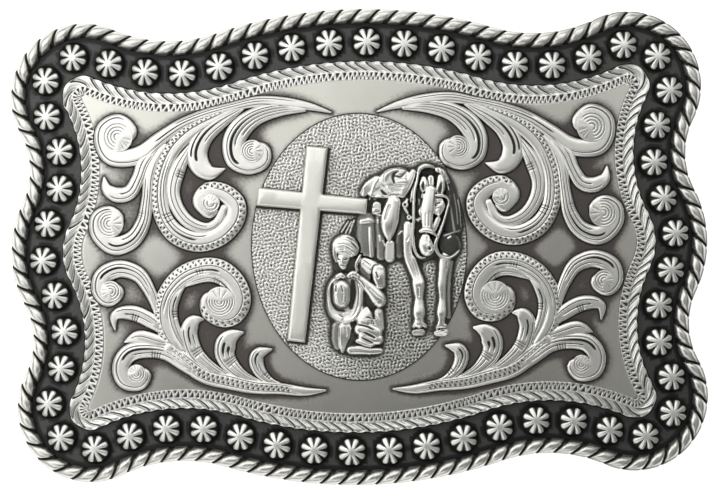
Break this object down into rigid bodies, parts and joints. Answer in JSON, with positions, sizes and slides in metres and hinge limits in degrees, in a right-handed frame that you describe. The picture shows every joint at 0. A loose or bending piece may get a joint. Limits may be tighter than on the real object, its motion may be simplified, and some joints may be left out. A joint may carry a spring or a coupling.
{
  "type": "western belt buckle",
  "caption": "Curved trophy belt buckle with a rope edge, a studded dark channel, raised scrolls, a cross, a saddled horse and a kneeling figure; strap loop and hook stud behind.",
  "frame": {"origin": "middle of the footprint, on the surface that the buckle lies on", "axes": "+Z out of the front face, +X towards the end with the strap loop (the wearer's left), +Y up as worn"},
  "size_m": [0.1006, 0.0684, 0.016],
  "materials": {
    "dark_plate": "blackened, satin",
    "rope_silver": "antiqued silver colour, dark in the recesses",
    "stud_silver": "bright petals with black flutes",
    "panel_silver": "antiqued satin silver colour, engraved rim",
    "scroll_silver": "antiqued silver colour, engraved lines",
    "oval_silver": "stippled, dark in the pits",
    "polished_silver": "polished silver colour",
    "relief_silver": "cast relief, antiqued",
    "back_silver": "plain tumbled silver colour"
  },
  "bodies": {
    "root": {"base_plate": "dark_plate", "rope_edge": "rope_silver", "berry_studs": "stud_silver", "panel": "panel_silver", "scroll_top_left": "scroll_silver", "scroll_top_right": "scroll_silver", "scroll_bottom_left": "scroll_silver", "scroll_bottom_right": "scroll_silver", "oval_ground": "oval_silver", "cross": "polished_silver", "horse": "relief_silver", "kneeling_figure": "relief_silver", "belt_loop": "back_silver", "hook_stud": "back_silver"}
  },
  "joints": []
}
